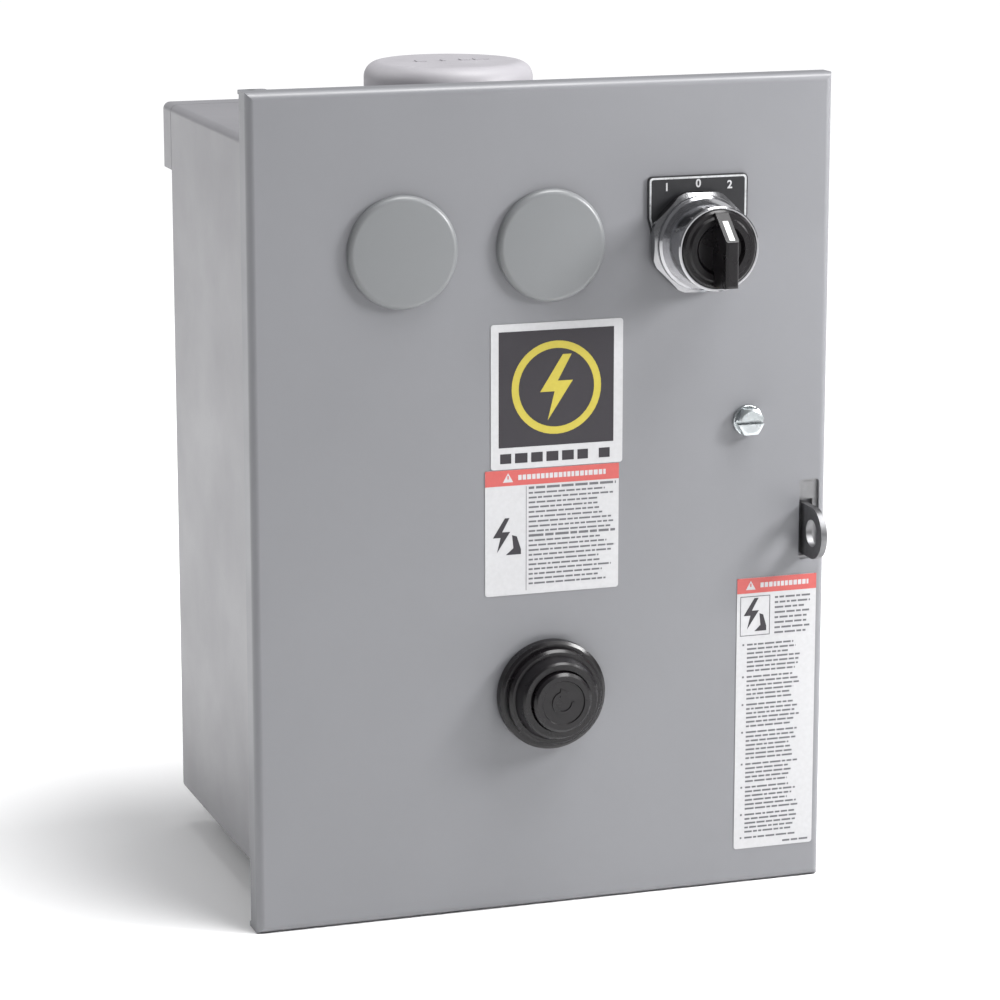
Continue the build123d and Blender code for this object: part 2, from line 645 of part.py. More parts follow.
# ---------------------------------------------------------------- door
def door_panel():
    outer = block(-DOOR_X, DOOR_X, DOOR_FRONT, DOOR_FRONT + FLANGE, DOOR_BOTTOM, DOOR_TOP)
    outer = fillet(outer.faces().sort_by(Axis.Y)[0].edges(), DOOR_BEND)
    inner = block(-DOOR_X + SHEET, DOOR_X - SHEET, DOOR_BACK, DOOR_FRONT + FLANGE + 1,
                  DOOR_BOTTOM + SHEET, DOOR_TOP - SHEET)
    inner = fillet(inner.faces().sort_by(Axis.Y)[0].edges(), DOOR_BEND - SHEET)
    door = outer - inner
    tab_back = DOOR_FRONT + FLANGE + HINGE_TAB
    for z0, z1 in ((DOOR_TOP - SHEET, DOOR_TOP), (DOOR_BOTTOM, DOOR_BOTTOM + SHEET)):
        tab = block(-DOOR_X, -DOOR_X + HINGE_TAB_W, DOOR_FRONT + FLANGE, tab_back, z0, z1)
        door += fillet(tab.edges().filter_by(Axis.Z).group_by(Axis.Y)[-1], 2.0)
        door -= post(HINGE_X, HINGE_Y, PIN_R, z0 - 1, z1 + 1)
    for x, z in OPERATORS:
        door -= disc(x, z, OP_HOLE_R, DOOR_FRONT - 1, DOOR_BACK + 1)
    door -= disc(SCREW_X, SCREW_Z, SCREW_R + RUN_PLAY, DOOR_FRONT - 1, DOOR_BACK + 1)
    cutout = block(*CUTOUT_X, DOOR_FRONT - 1, DOOR_BACK + 1, *CUTOUT_Z)
    return door - fillet(cutout.edges().filter_by(Axis.Y), 1.5)


def hinge_pins():
    """Pins fixed in the door's flanges, turning in the cabinet's ears."""
    return Compound(children=[post(HINGE_X, HINGE_Y, PIN_R, DOOR_TOP - 6.0, DOOR_TOP),
                              post(HINGE_X, HINGE_Y, PIN_R, DOOR_BOTTOM, DOOR_BOTTOM + 6.0)])


def door_gasket():
    """A foam strip round the door's inner face, broken where the padlock tab passes."""
    outer = block(GASKET_LEFT - GASKET_W, GASKET_RIGHT + GASKET_W, DOOR_BACK, DOOR_BACK + GASKET_T,
                  GASKET_BOTTOM - 5, GASKET_TOP + 5)
    inner = block(GASKET_LEFT, GASKET_RIGHT, DOOR_BACK - 1, DOOR_BACK + GASKET_T + 1,
                  GASKET_BOTTOM, GASKET_TOP)
    gap = block(GASKET_RIGHT - 5, DOOR_X, DOOR_BACK - 1, DOOR_BACK + GASKET_T + 1,
                CUTOUT_Z[0] - 3, CUTOUT_Z[1] + 3)
    return outer - inner - gap


def hasp_plate():
    """A zinc plate behind the door's cutout, slotted for the padlock tab."""
    thick, slot_play = 1.2, 1.2
    plate = block(CUTOUT_X[0] - 7, CUTOUT_X[1], DOOR_BACK, DOOR_BACK + thick,
                  CUTOUT_Z[0] - 3, CUTOUT_Z[1] + 3)
    return plate - block(INNER_X - 3.0, INNER_X + 4.6, DOOR_BACK - 1, DOOR_BACK + thick + 1,
                         TAB_Z - TAB_HALF - slot_play, TAB_Z + TAB_HALF + slot_play)


def plug(x):
    """A closing plug: a slightly domed cap with a stud through the hole."""
    front = DOOR_FRONT - PLUG_T
    rim = front + PLUG_DOME
    outline = [(0, DOOR_BACK + 2), (COLLAR_R, DOOR_BACK + 2), (COLLAR_R, DOOR_FRONT), (PLUG_R, DOOR_FRONT),
               (PLUG_R, rim), (0, rim)]
    cap = turned(x, OP_ROW_Z, outline)
    dome_r = (PLUG_R ** 2 + PLUG_DOME ** 2) / (2 * PLUG_DOME)
    cap += Pos(x, front + dome_r, OP_ROW_Z) * Sphere(dome_r) & disc(x, OP_ROW_Z, PLUG_R, front, rim + 0.2)
    return fillet(cap.edges().filter_by(GeomType.CIRCLE).group_by(Axis.Y)[0], PLUG_EDGE)


def plug_clips():
    """The bar and nut that hold each plug from behind."""
    clips = []
    for x in PLUG_X:
        bar = block(x - 21, x + 21, DOOR_BACK + 2, DOOR_BACK + 3.5, OP_ROW_Z - 6, OP_ROW_Z + 6)
        bar += block(x - 21, x - 17, DOOR_BACK, DOOR_BACK + 2, OP_ROW_Z - 6, OP_ROW_Z + 6)
        bar += block(x + 17, x + 21, DOOR_BACK, DOOR_BACK + 2, OP_ROW_Z - 6, OP_ROW_Z + 6)
        nut = Pos(x, DOOR_BACK + 7, OP_ROW_Z) * Rot(90, 0, 0) * extrude(
            RegularPolygon(5.0, 6, major_radius=False), 3.5)
        clips.append(bar + nut)
    return Compound(children=clips)


# ---------------------------------------------------------------- selector switch
def selector_legend_plate():
    half, top, waist = 20.8, 26.0, 9.6
    points = [(-half, top), (half, top), (half, waist), (15.5, -11.0), (-15.5, -11.0), (-half, waist)]
    plate = prism([(SELECTOR_X + x, SELECTOR_Z + z) for x, z in points], DOOR_FRONT - LEGEND_T, DOOR_FRONT)
    plate = fillet(plate.edges().filter_by(Axis.Y), 2.0)
    return plate - disc(SELECTOR_X, SELECTOR_Z, OP_HOLE_R, DOOR_FRONT - 5, DOOR_FRONT + 1)


def selector_ring_nut():
    """A faceted nut with a bevelled front."""
    back = DOOR_FRONT - LEGEND_T
    front = back - NUT_T
    flats = Pos(SELECTOR_X, back, SELECTOR_Z) * Rot(90, 0, 0) * extrude(
        RegularPolygon(NUT_R, 8, major_radius=False, rotation=22.5), NUT_T)
    bevel = turned(SELECTOR_X, SELECTOR_Z, [(0, back), (NUT_R, back), (NUT_R + 1, back - 1),
                                            (NUT_R + 1, front + 1.6), (NUT_R - 0.8, front), (0, front)])
    return (flats & bevel) - disc(SELECTOR_X, SELECTOR_Z, COLLAR_R + THREAD_FIT, front - 1, back + 1)


def selector_bezel():
    """The chrome bushing: a rear flange, a long barrel with a lip, and a collar through the door."""
    seat = DOOR_FRONT - LEGEND_T - NUT_T
    floor, step = seat - 2.2, seat - 2.6
    lip = DOOR_FRONT - BEZEL_LIP
    bore, cup, end = SHAFT_R + RUN_PLAY, KNOB_R + 0.4, DOOR_BACK + COLLAR_END
    outline = [(bore, floor), (cup, floor), (cup, lip), (BEZEL_LIP_R - 0.5, lip), (BEZEL_LIP_R, lip + 0.5),
               (BEZEL_LIP_R, lip + 2.0), (BEZEL_BARREL_R, lip + 2.4), (BEZEL_BARREL_R, step),
               (BEZEL_FLANGE_R - 0.9, step), (BEZEL_FLANGE_R, step + 0.9), (BEZEL_FLANGE_R, seat),
               (COLLAR_R, seat), (COLLAR_R, end), (bore, end)]
    return turned(SELECTOR_X, SELECTOR_Z, outline)


def selector_gasket():
    return ring(SELECTOR_X, SELECTOR_Z, 20.5, OP_HOLE_R, DOOR_BACK, DOOR_BACK + SELECTOR_GASKET_T)


def selector_mounting_body():
    half_w, half_h, back = 19.0, 21.0, DOOR_BACK + MOUNT_BACK
    body = block(SELECTOR_X - half_w, SELECTOR_X + half_w, DOOR_BACK + SELECTOR_GASKET_T, back,
                 SELECTOR_Z - half_h, SELECTOR_Z + half_h)
    body = fillet(body.edges().filter_by(Axis.Y), 3.0)
    return body - disc(SELECTOR_X, SELECTOR_Z, COLLAR_R + THREAD_FIT, DOOR_BACK, back + 1)


def selector_contact_block():
    half_w, half_h = 18.0, 20.0
    front = DOOR_BACK + MOUNT_BACK
    body = block(SELECTOR_X - half_w, SELECTOR_X + half_w, front, front + CONTACT_BLOCK_D,
                 SELECTOR_Z - half_h, SELECTOR_Z + half_h)
    body = fillet(body.faces().sort_by(Axis.Y)[-1].edges(), 1.5)
    for sx in (-1, 1):
        for sz in (-1, 1):
            x, z = SELECTOR_X + sx * 10, SELECTOR_Z + sz * 15
            body -= block(x - 5, x + 5, front + 12, front + 24, *sorted((z - sz * 4, z + sz * 6)))
    return body


def selector_contact_screws():
    screws = []
    for sx in (-1, 1):
        for sz in (-1, 1):
            x, z = SELECTOR_X + sx * 10, SELECTOR_Z + sz * 11
            base = min(z, z + sz * 3.0)
            y = DOOR_BACK + MOUNT_BACK + 18
            screw = post(x, y, 3.2, base, base + 3.0)
            groove = z + sz * 3.0
            screws.append(screw - block(x - 4, x + 4, y - 0.5, y + 0.5, groove - 1, groove + 1))
    return Compound(children=screws)


def selector_knob():
    """A black disc with turned rings and a finger ridge that slopes back at its top end."""
    back = DOOR_FRONT - LEGEND_T - NUT_T - 2.6
    face, tip = DOOR_FRONT - KNOB_FACE, DOOR_FRONT - KNOB_TIP
    step, recess = face + 1.0, face + 1.6
    outline = [(0, back), (KNOB_R, back), (KNOB_R, face + 1.8), (KNOB_R - 0.8, step), (KNOB_R - 2.2, step),
               (KNOB_R - 3.0, face), (KNOB_R - 5.2, face), (KNOB_R - 6.4, recess), (0, recess)]
    knob = turned(SELECTOR_X, SELECTOR_Z, outline)
    foot, end = recess + 1, KNOB_R - 0.8
    side = [(-end, foot), (end, foot), (end, face), (RIDGE_TOP, tip), (1 - end, tip), (-end, face - 4)]
    ridge = extrude(make_face(Polyline(*side, close=True)), RIDGE_T / 2, both=True)
    ridge = Pos(SELECTOR_X, 0, SELECTOR_Z) * Rot(0, -90, 0) * ridge
    ridge = ridge & disc(SELECTOR_X, SELECTOR_Z, KNOB_R - 0.2, tip - 1, foot + 1)
    return knob + fillet(ridge.faces().sort_by(Axis.Y)[0].edges(), 1.2)


def selector_shaft():
    back = DOOR_FRONT - LEGEND_T - NUT_T - 2.6
    return disc(SELECTOR_X, SELECTOR_Z, SHAFT_R, back, DOOR_BACK + COLLAR_END + 2)


# ---------------------------------------------------------------- reset button
def reset_guard():
    """The stepped black guard, its collar through the door, and the button's guide."""
    front, base = DOOR_FRONT - BUTTON_FACE + 3.0, DOOR_FRONT - 0.8
    end = DOOR_BACK + GUARD_END
    bore, rod = BUTTON_R + 0.1, 4.0 + RUN_PLAY
    outline = [(22.0, base), (22.0, base - 4.2), (20.8, base - 5.0), (19.4, base - 5.0), (19.4, base - 7.6),
               (18.4, base - 8.6), (17.2, base - 8.6), (15.6, front + 0.7), (14.8, front),
               (bore + 0.5, front), (bore, front + 0.5), (bore, RESET_SHOULDER), (rod, RESET_SHOULDER),
               (rod, end),
               (COLLAR_R, end), (COLLAR_R, base)]
    return turned(RESET_X, RESET_Z, outline)


def reset_gasket():
    return ring(RESET_X, RESET_Z, 21.4, OP_HOLE_R, DOOR_FRONT - 0.8, DOOR_FRONT)


def reset_nut():
    thick, corner = 6.0, 22.0
    back = DOOR_BACK + thick
    nut = Pos(RESET_X, back, RESET_Z) * Rot(90, 0, 0) * extrude(
        RegularPolygon(19.0, 6, major_radius=False), thick)
    bevel = turned(RESET_X, RESET_Z, [(0, DOOR_BACK), (corner, DOOR_BACK), (corner, back - 1),
                                      (corner - 2, back), (0, back)])
    return (nut & bevel) - disc(RESET_X, RESET_Z, COLLAR_R + THREAD_FIT, DOOR_BACK - 1, back + 1)


def reset_button():
    """The black push button, with a ring groove round its flat face."""
    face = DOOR_FRONT - BUTTON_FACE
    back = face + BUTTON_DEPTH
    outline = [(0, face + 0.6), (8.6, face + 0.6), (8.9, face), (10.9, face), (BUTTON_R, face + 1.0),
               (BUTTON_R, back), (0, back)]
    button = turned(RESET_X, RESET_Z, outline)
    return button + mark_bars(RESET_X, RESET_Z, face)


def mark_bars(x, z, face):
    """A raised arrow mark: a bar and a half ring."""
    mark = ring(x, z, 4.6, 3.4, face + 0.1, face + 0.7)
    mark -= block(x, x + 6, face - 1, face + 2, z, z + 6)
    return mark + prism([(x - 1.2, z + 5.9), (x + 2.4, z + 4.0), (x - 1.2, z + 2.1)], face + 0.1, face + 0.7)


def reset_rod():
    """The rod from the button to just in front of the relay's reset lever."""
    back = DOOR_FRONT - BUTTON_FACE + BUTTON_DEPTH
    end = DOOR_BACK + GUARD_END
    rod = disc(RESET_X, RESET_Z, 4.0, back, end + 3.0)
    rod += disc(RESET_X, RESET_Z, 6.0, end + 0.3, end + 1.8)
    rod += disc(RESET_X, RESET_Z, 3.0, end + 3.0, LEVER_FRONT - 8)
    return rod + disc(RESET_X, RESET_Z, 4.2, LEVER_FRONT - 8, LEVER_FRONT - GAP)


def reset_spring():
    back = DOOR_FRONT - BUTTON_FACE + BUTTON_DEPTH
    return coil_spring(RESET_X, RESET_Z, 8.0, 0.9, back, RESET_SHOULDER, 4)


# ---------------------------------------------------------------- cover screw
def cover_screw():
    seat = DOOR_FRONT - 0.3
    front = seat - SCREW_HEAD_H
    head = hex_head(SCREW_X, SCREW_Z, 10.4, front, seat)
    head += fillet(disc(SCREW_X, SCREW_Z, SCREW_FLANGE_R, seat - 1.2, seat).edges().sort_by(Axis.Y)[0], 0.5)
    head = slotted(head, SCREW_X, SCREW_Z, front, 1.7, 2.4)
    return head + disc(SCREW_X, SCREW_Z, SCREW_R, seat, DOOR_BACK + 14.0)


def screw_retainer():
    """The clip that keeps the screw on the door."""
    return ring(SCREW_X, SCREW_Z, 5.6, SCREW_R, DOOR_BACK + 0.3, DOOR_BACK + 1.3)


def label(x0, x1, z0, z1):
    sheet = block(x0, x1, DOOR_FRONT - LABEL_T, DOOR_FRONT, z0, z1)
    return fillet(sheet.edges().filter_by(Axis.Y), 1.2)


# ---------------------------------------------------------------- write every node
NODES = [
    enclosure_body, knockout_slugs, hinge_brackets, latch_bracket, screw_catch, hub_gasket, hub_closing_cap,
    hub_screws, mounting_pan, pan_standoffs, pan_screws, ground_lug, contactor_base_plate, base_plate_screws,
    contactor_housing, magnet_core, coil, armature, contact_carrier, moving_contacts, line_terminals,
    load_straps, arc_cover, cover_screws, return_springs, holding_interlock, interlock_screws, coil_terminals,
    overload_housing, thermal_units, thermal_unit_screws, overload_terminals, overload_reset_lever,
    door_panel, hinge_pins, door_gasket, hasp_plate, plug_clips, selector_legend_plate, selector_ring_nut,
    selector_bezel, selector_gasket, selector_mounting_body, selector_contact_block, selector_contact_screws,
    selector_knob, selector_shaft, reset_guard, reset_gasket, reset_nut, reset_button, reset_rod,
    reset_spring, cover_screw, screw_retainer,
]
for make in NODES:
    save(make.__name__, make())
save("wall_bracket_top", wall_pan(WALL_X, WALL_Z - BRACKET_H, WALL_Z, BODY_BEND))
save("wall_rail_bottom", wall_pan(RAIL_W / 2, -WALL_Z, -WALL_Z + BRACKET_H))
save("line_terminal_screws", terminal_screws(CON_TOP - 12))
save("closing_plugs", Compound(children=[plug(x) for x in PLUG_X]))
save("door_labels", Compound(children=[label(*corners) for corners in LABELS.values()]))
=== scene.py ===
import json
import math
import random

import bmesh
import bpy
from mathutils import Matrix, Vector


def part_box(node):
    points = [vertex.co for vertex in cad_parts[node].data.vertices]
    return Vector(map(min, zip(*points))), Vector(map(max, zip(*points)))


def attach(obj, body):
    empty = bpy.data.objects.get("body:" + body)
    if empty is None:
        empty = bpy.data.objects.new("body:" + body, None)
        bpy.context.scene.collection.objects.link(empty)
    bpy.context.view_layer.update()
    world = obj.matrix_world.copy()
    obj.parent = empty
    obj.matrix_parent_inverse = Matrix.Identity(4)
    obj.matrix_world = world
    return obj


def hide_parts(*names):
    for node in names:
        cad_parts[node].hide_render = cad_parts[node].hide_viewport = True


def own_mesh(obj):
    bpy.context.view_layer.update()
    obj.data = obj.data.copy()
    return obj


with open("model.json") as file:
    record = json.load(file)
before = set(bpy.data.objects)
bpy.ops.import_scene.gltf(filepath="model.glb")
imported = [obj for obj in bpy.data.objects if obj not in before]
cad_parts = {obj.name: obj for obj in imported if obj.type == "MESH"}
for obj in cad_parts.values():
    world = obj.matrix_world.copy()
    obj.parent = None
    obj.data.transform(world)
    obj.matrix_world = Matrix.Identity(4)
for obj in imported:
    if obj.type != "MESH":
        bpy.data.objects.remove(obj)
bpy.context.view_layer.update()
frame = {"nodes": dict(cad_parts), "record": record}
NODES = frame["nodes"]
MM = 0.001

# Door front plane and the floor, from the frame.
DOOR_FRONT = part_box("door_panel")[0].y
FLOOR_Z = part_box("door_panel")[0].z
NOISE_ROUGHNESS = 0.55


# ---------------------------------------------------------------- mesh helper
def mesh_object(name, mesh, material):
    """Turns a bmesh into a scene object with one material, and frees it."""
    data = bpy.data.meshes.new(name)
    mesh.to_mesh(data)
    mesh.free()
    data.materials.append(material)
    obj = bpy.data.objects.new(name, data)
    bpy.context.scene.collection.objects.link(obj)
    return obj


# ---------------------------------------------------------------- node helpers
class Shader:
    """One node material: a Principled shader on object coordinates, in metres."""

    def __init__(self, name, color, roughness, metallic=0.0):
        self.mat = bpy.data.materials.new(name)
        self.mat.use_nodes = True
        self.tree = self.mat.node_tree
        self.out = self.tree.nodes["Principled BSDF"]
        self.coords = self.tree.nodes.new("ShaderNodeTexCoord").outputs["Object"]
        self.set("Base Color", (*color, 1.0))
        self.set("Roughness", roughness)
        self.set("Metallic", metallic)
        self.mat.diffuse_color = (*color, 1.0)
        self.color = color
        self.height = None

    def set(self, socket, value):
        self.out.inputs[socket].default_value = value
        return self

    def node(self, kind, **inputs):
        made = self.tree.nodes.new(kind)
        for key, value in inputs.items():
            made.inputs[key.replace("_", " ")].default_value = value
        return made

    def link(self, a, b):
        self.tree.links.new(a, b)

    def stretched(self, scale):
        """Object coordinates scaled along each axis."""
        mapping = self.node("ShaderNodeMapping")
        mapping.inputs["Scale"].default_value = scale
        self.link(self.coords, mapping.inputs["Vector"])
        return mapping.outputs["Vector"]

    def noise(self, scale, detail=3.0, stretch=None):
        tex = self.node("ShaderNodeTexNoise", Scale=scale, Detail=detail, Roughness=NOISE_ROUGHNESS)
        self.link(self.stretched(stretch) if stretch else self.coords, tex.inputs["Vector"])
        return tex.outputs["Fac"]

    def cells(self, scale):
        tex = self.node("ShaderNodeTexVoronoi", Scale=scale)
        self.link(self.coords, tex.inputs["Vector"])
        return tex.outputs["Distance"]

    def bands(self, scale, axis, distortion=0.0):
        tex = self.node("ShaderNodeTexWave", Scale=scale, Distortion=distortion)
        tex.bands_direction = axis
        self.link(self.coords, tex.inputs["Vector"])
        return tex.outputs["Fac"]

    def span(self, value, low, high, start=0.3, end=0.7):
        """Maps a 0 to 1 texture between start and end onto low to high."""
        ramp = self.node("ShaderNodeMapRange")
        for key, number in (("From Min", start), ("From Max", end), ("To Min", low), ("To Max", high)):
            ramp.inputs[key].default_value = number
        self.link(value, ramp.inputs["Value"])
        return ramp.outputs["Result"]

    def tint(self, value, dark, light, start=0.3, end=0.7):
        """Blends the base colour between two colours by a texture."""
        ramp = self.node("ShaderNodeValToRGB")
        ramp.color_ramp.elements[0].position, ramp.color_ramp.elements[0].color = start, (*dark, 1.0)
        ramp.color_ramp.elements[1].position, ramp.color_ramp.elements[1].color = end, (*light, 1.0)
        self.link(value, ramp.inputs["Fac"])
        self.link(ramp.outputs["Color"], self.out.inputs["Base Color"])
        return self

    def shade(self, value, amount, start=0.3, end=0.7):
        """Varies the base colour's brightness by a texture."""
        dark = tuple(c * (1 - amount) for c in self.color)
        light = tuple(min(1.0, c * (1 + amount)) for c in self.color)
        return self.tint(value, dark, light, start, end)

    def gloss(self, value, low, high, start=0.3, end=0.7):
        self.link(self.span(value, low, high, start, end), self.out.inputs["Roughness"])
        return self

    def bump(self, value, distance, strength=1.0):
        """Adds a height, in metres, on top of the ones before."""
        made = self.node("ShaderNodeBump", Strength=strength, Distance=distance)
        self.link(value, made.inputs["Height"])
        if self.height:
            self.link(self.height, made.inputs["Normal"])
        self.height = made.outputs["Normal"]
        self.link(self.height, self.out.inputs["Normal"])
        return self


# ---------------------------------------------------------------- materials
def paint(name, color, roughness=0.42):
    """Baked enamel on sheet steel: orange peel, faint mottling and fine dust specks."""
    s = Shader(name, color, roughness)
    s.shade(s.noise(9.0, 5.0), 0.02, 0.35, 0.65)
    s.gloss(s.noise(26.0, 4.0), roughness - 0.05, roughness + 0.07)
    s.bump(s.noise(420.0, 2.0), 0.00003, 0.35)
    s.bump(s.noise(2400.0, 2.0), 0.000006, 0.5)
    s.set("Coat Weight", 0.18).set("Coat Roughness", 0.22)
    return s.mat


def cast_paint(name, color):
    """Enamel over a die casting: a grainier skin."""
    s = Shader(name, color, 0.46)
    s.shade(s.noise(60.0, 5.0), 0.035)
    s.gloss(s.noise(90.0, 3.0), 0.42, 0.56)
    s.bump(s.noise(900.0, 3.0), 0.00005, 0.5)
    return s.mat


def zinc(name, color=(0.62, 0.63, 0.63), low=0.24, high=0.42):
    """Bright zinc plate: a cloudy skin over fine drawing lines."""
    s = Shader(name, color, 0.3, 1.0)
    s.shade(s.noise(240.0, 6.0), 0.12)
    s.gloss(s.noise(170.0, 5.0), low, high)
    s.bump(s.noise(1500.0, 3.0), 0.00001, 0.5)
    return s.mat


def galvanised(name):
    """Galvanised sheet: large flat crystals."""
    s = Shader(name, (0.55, 0.56, 0.56), 0.4, 1.0)
    s.shade(s.cells(150.0), 0.16, 0.1, 0.7)
    s.gloss(s.cells(150.0), 0.3, 0.5, 0.1, 0.7)
    s.bump(s.noise(700.0, 3.0), 0.00001, 0.4)
    return s.mat


def chrome(name, color, roughness=0.1):
    s = Shader(name, color, roughness, 1.0)
    s.shade(s.noise(300.0, 5.0), 0.06)
    s.gloss(s.noise(420.0, 4.0), roughness - 0.03, roughness + 0.08)
    s.bump(s.noise(800.0, 2.0), 0.000008, 0.4)
    return s.mat


def gloss_black(name):
    """Polished black moulding: very fine flow marks and light scuffs."""
    s = Shader(name, (0.0065, 0.0055, 0.0065), 0.3)
    s.shade(s.noise(180.0, 4.0), 0.12)
    s.gloss(s.noise(130.0, 5.0), 0.24, 0.36)
    s.bump(s.noise(500.0, 2.0), 0.000004, 0.3)
    s.set("Specular IOR Level", 0.28).set("Coat Weight", 0.12).set("Coat Roughness", 0.1)
    return s.mat


def phenolic(name, color=(0.022, 0.022, 0.024)):
    """Matt moulding compound with a fine filler grain."""
    s = Shader(name, color, 0.55)
    s.shade(s.noise(700.0, 4.0), 0.3)
    s.gloss(s.noise(300.0, 4.0), 0.48, 0.66)
    s.bump(s.noise(1600.0, 3.0), 0.00003, 0.5)
    return s.mat


def foam(name):
    s = Shader(name, (0.018, 0.018, 0.019), 0.9)
    s.shade(s.cells(1800.0), 0.5, 0.1, 0.6)
    s.bump(s.cells(1800.0), 0.0001, 0.7)
    s.set("Specular IOR Level", 0.25)
    return s.mat


def metal(name, color, roughness=0.3, grain=(1.0, 1.0, 1.0)):
    """Plain strip metal with drawing lines along the stretched axis."""
    s = Shader(name, color, roughness, 1.0)
    lines = s.noise(900.0, 4.0, stretch=grain)
    s.shade(lines, 0.12)
    s.gloss(lines, roughness - 0.06, roughness + 0.12)
    s.bump(lines, 0.00001, 0.5)
    return s.mat


def laminated(name):
    """Stacked iron sheets, half a millimetre each."""
    s = Shader(name, (0.2, 0.195, 0.19), 0.45, 1.0)
    sheets = s.bands(310.0, "Z")
    s.shade(sheets, 0.45, 0.1, 0.5)
    s.gloss(s.noise(400.0, 4.0), 0.36, 0.6)
    s.bump(sheets, 0.00008, 0.7)
    return s.mat


def coil_tape(name):
    """Varnished winding tape with overlapping turns."""
    s = Shader(name, (0.52, 0.36, 0.05), 0.3)
    turns = s.bands(40.0, "Y", 0.6)
    s.shade(turns, 0.2, 0.2, 0.9)
    s.gloss(s.noise(120.0, 4.0), 0.22, 0.4)
    s.bump(turns, 0.0002, 0.5)
    return s.mat


def moulded(name, color, roughness=0.45):
    s = Shader(name, color, roughness)
    s.shade(s.noise(320.0, 4.0), 0.12)
    s.gloss(s.noise(210.0, 4.0), roughness - 0.06, roughness + 0.1)
    s.bump(s.noise(1400.0, 3.0), 0.00002, 0.5)
    return s.mat


def printed(name, color, roughness=0.38):
    """Ink or film on a polyester label."""
    s = Shader(name, color, roughness)
    s.shade(s.noise(500.0, 3.0), 0.035)
    s.gloss(s.noise(160.0, 3.0), roughness - 0.05, roughness + 0.08)
    s.bump(s.noise(900.0, 2.0), 0.000004, 0.4)
    return s.mat


def floor_material():
    s = Shader("studio_floor", (0.93, 0.93, 0.93), 0.75)
    s.shade(s.noise(3.0, 2.0), 0.006)
    s.set("Specular IOR Level", 0.15)
    return s.mat


DOOR_GREY = (0.188, 0.190, 0.202)
BODY_GREY = (0.215, 0.212, 0.225)
MATERIALS = {
    "cabinet_paint": paint("cabinet_enamel", BODY_GREY),
    "door_paint": paint("door_enamel", DOOR_GREY),
    "slug_paint": paint("slug_enamel", BODY_GREY),
    # The cap's enamel is set lighter than the body grey. This is partly painted light: it was raised so the
    # cap's shaded front side comes out bright.
    "cap_paint": cast_paint("cap_enamel", (0.34, 0.33, 0.35)),
    "plug_paint": paint("plug_enamel", (0.168, 0.174, 0.179), 0.4),
    # This zinc is set much darker than bright zinc. The darkness is partly painted shade for the parts seen
    # in the shadowed recess through the door's slot.
    "zinc": zinc("zinc_plate", (0.25, 0.25, 0.255), 0.34, 0.54),
    # The padlock tab is dark zinc. Its darkness is partly painted shade on the face that turns away from the
    # light.
    "tab_steel": zinc("tab_plate", (0.19, 0.19, 0.195), 0.36, 0.52),
    "screw_zinc": zinc("screw_plate", (0.50, 0.53, 0.54), 0.2, 0.36),
    "gasket": foam("foam_rubber"),
    "pan_steel": galvanised("galvanised_sheet"),
    "lug_aluminium": metal("lug_metal", (0.7, 0.71, 0.72), 0.32),
    "moulded_black": phenolic("phenolic_black"),
    "laminations": laminated("lamination_steel"),
    "coil_wrap": coil_tape("coil_tape"),
    "carrier_red": moulded("carrier_red", (0.32, 0.035, 0.02)),
    "copper": metal("copper_strip", (0.72, 0.38, 0.22), 0.28, (1.0, 1.0, 0.05)),
    "tinned": metal("tinned_strip", (0.62, 0.61, 0.57), 0.3),
    "thermal": metal("thermal_brass", (0.62, 0.46, 0.18), 0.3, (0.05, 1.0, 1.0)),
    "spring_steel": metal("spring_wire", (0.5, 0.5, 0.51), 0.25),
    "legend_black": moulded("legend_anodised", (0.012, 0.012, 0.014), 0.34),
    "nut_chrome": chrome("nut_chrome", (0.34, 0.34, 0.35), 0.18),
    "bezel_chrome": chrome("bezel_chrome", (0.44, 0.44, 0.455), 0.12),
    "switch_body": moulded("switch_moulding", (0.03, 0.03, 0.034), 0.36),
    "knob_black": gloss_black("knob_black"),
    "shaft_nylon": moulded("nylon_white", (0.62, 0.60, 0.53), 0.42),
    "reset_black": gloss_black("reset_black"),
    "nut_zinc": zinc("nut_zinc"),
    "label_print": printed("label_film", (0.47, 0.47, 0.48)),
}
INKS = {
    "film": MATERIALS["label_print"],
    "black": printed("ink_black", (0.018, 0.015, 0.02)),
    "yellow": printed("ink_yellow", (0.43, 0.36, 0.045)),
    "red": printed("ink_red", (0.46, 0.085, 0.078)),
    "text": printed("ink_text", (0.11, 0.11, 0.12)),
    # The knob's white pointer mark is part insert colour and part painted highlight on the ridge's slope.
    "white": moulded("insert_white_and_highlight", (0.72, 0.72, 0.71), 0.3),
    "silver": metal("legend_silver", (0.70, 0.71, 0.72), 0.3),
}


def dress_nodes():
    """Gives every CAD node the material of its record slot."""
    slots = {row["node"]: row["material_slot"] for row in frame["record"]["subparts"]}
    for name, obj in NODES.items():
        obj.data.materials.clear()
        obj.data.materials.append(MATERIALS[slots[name]])


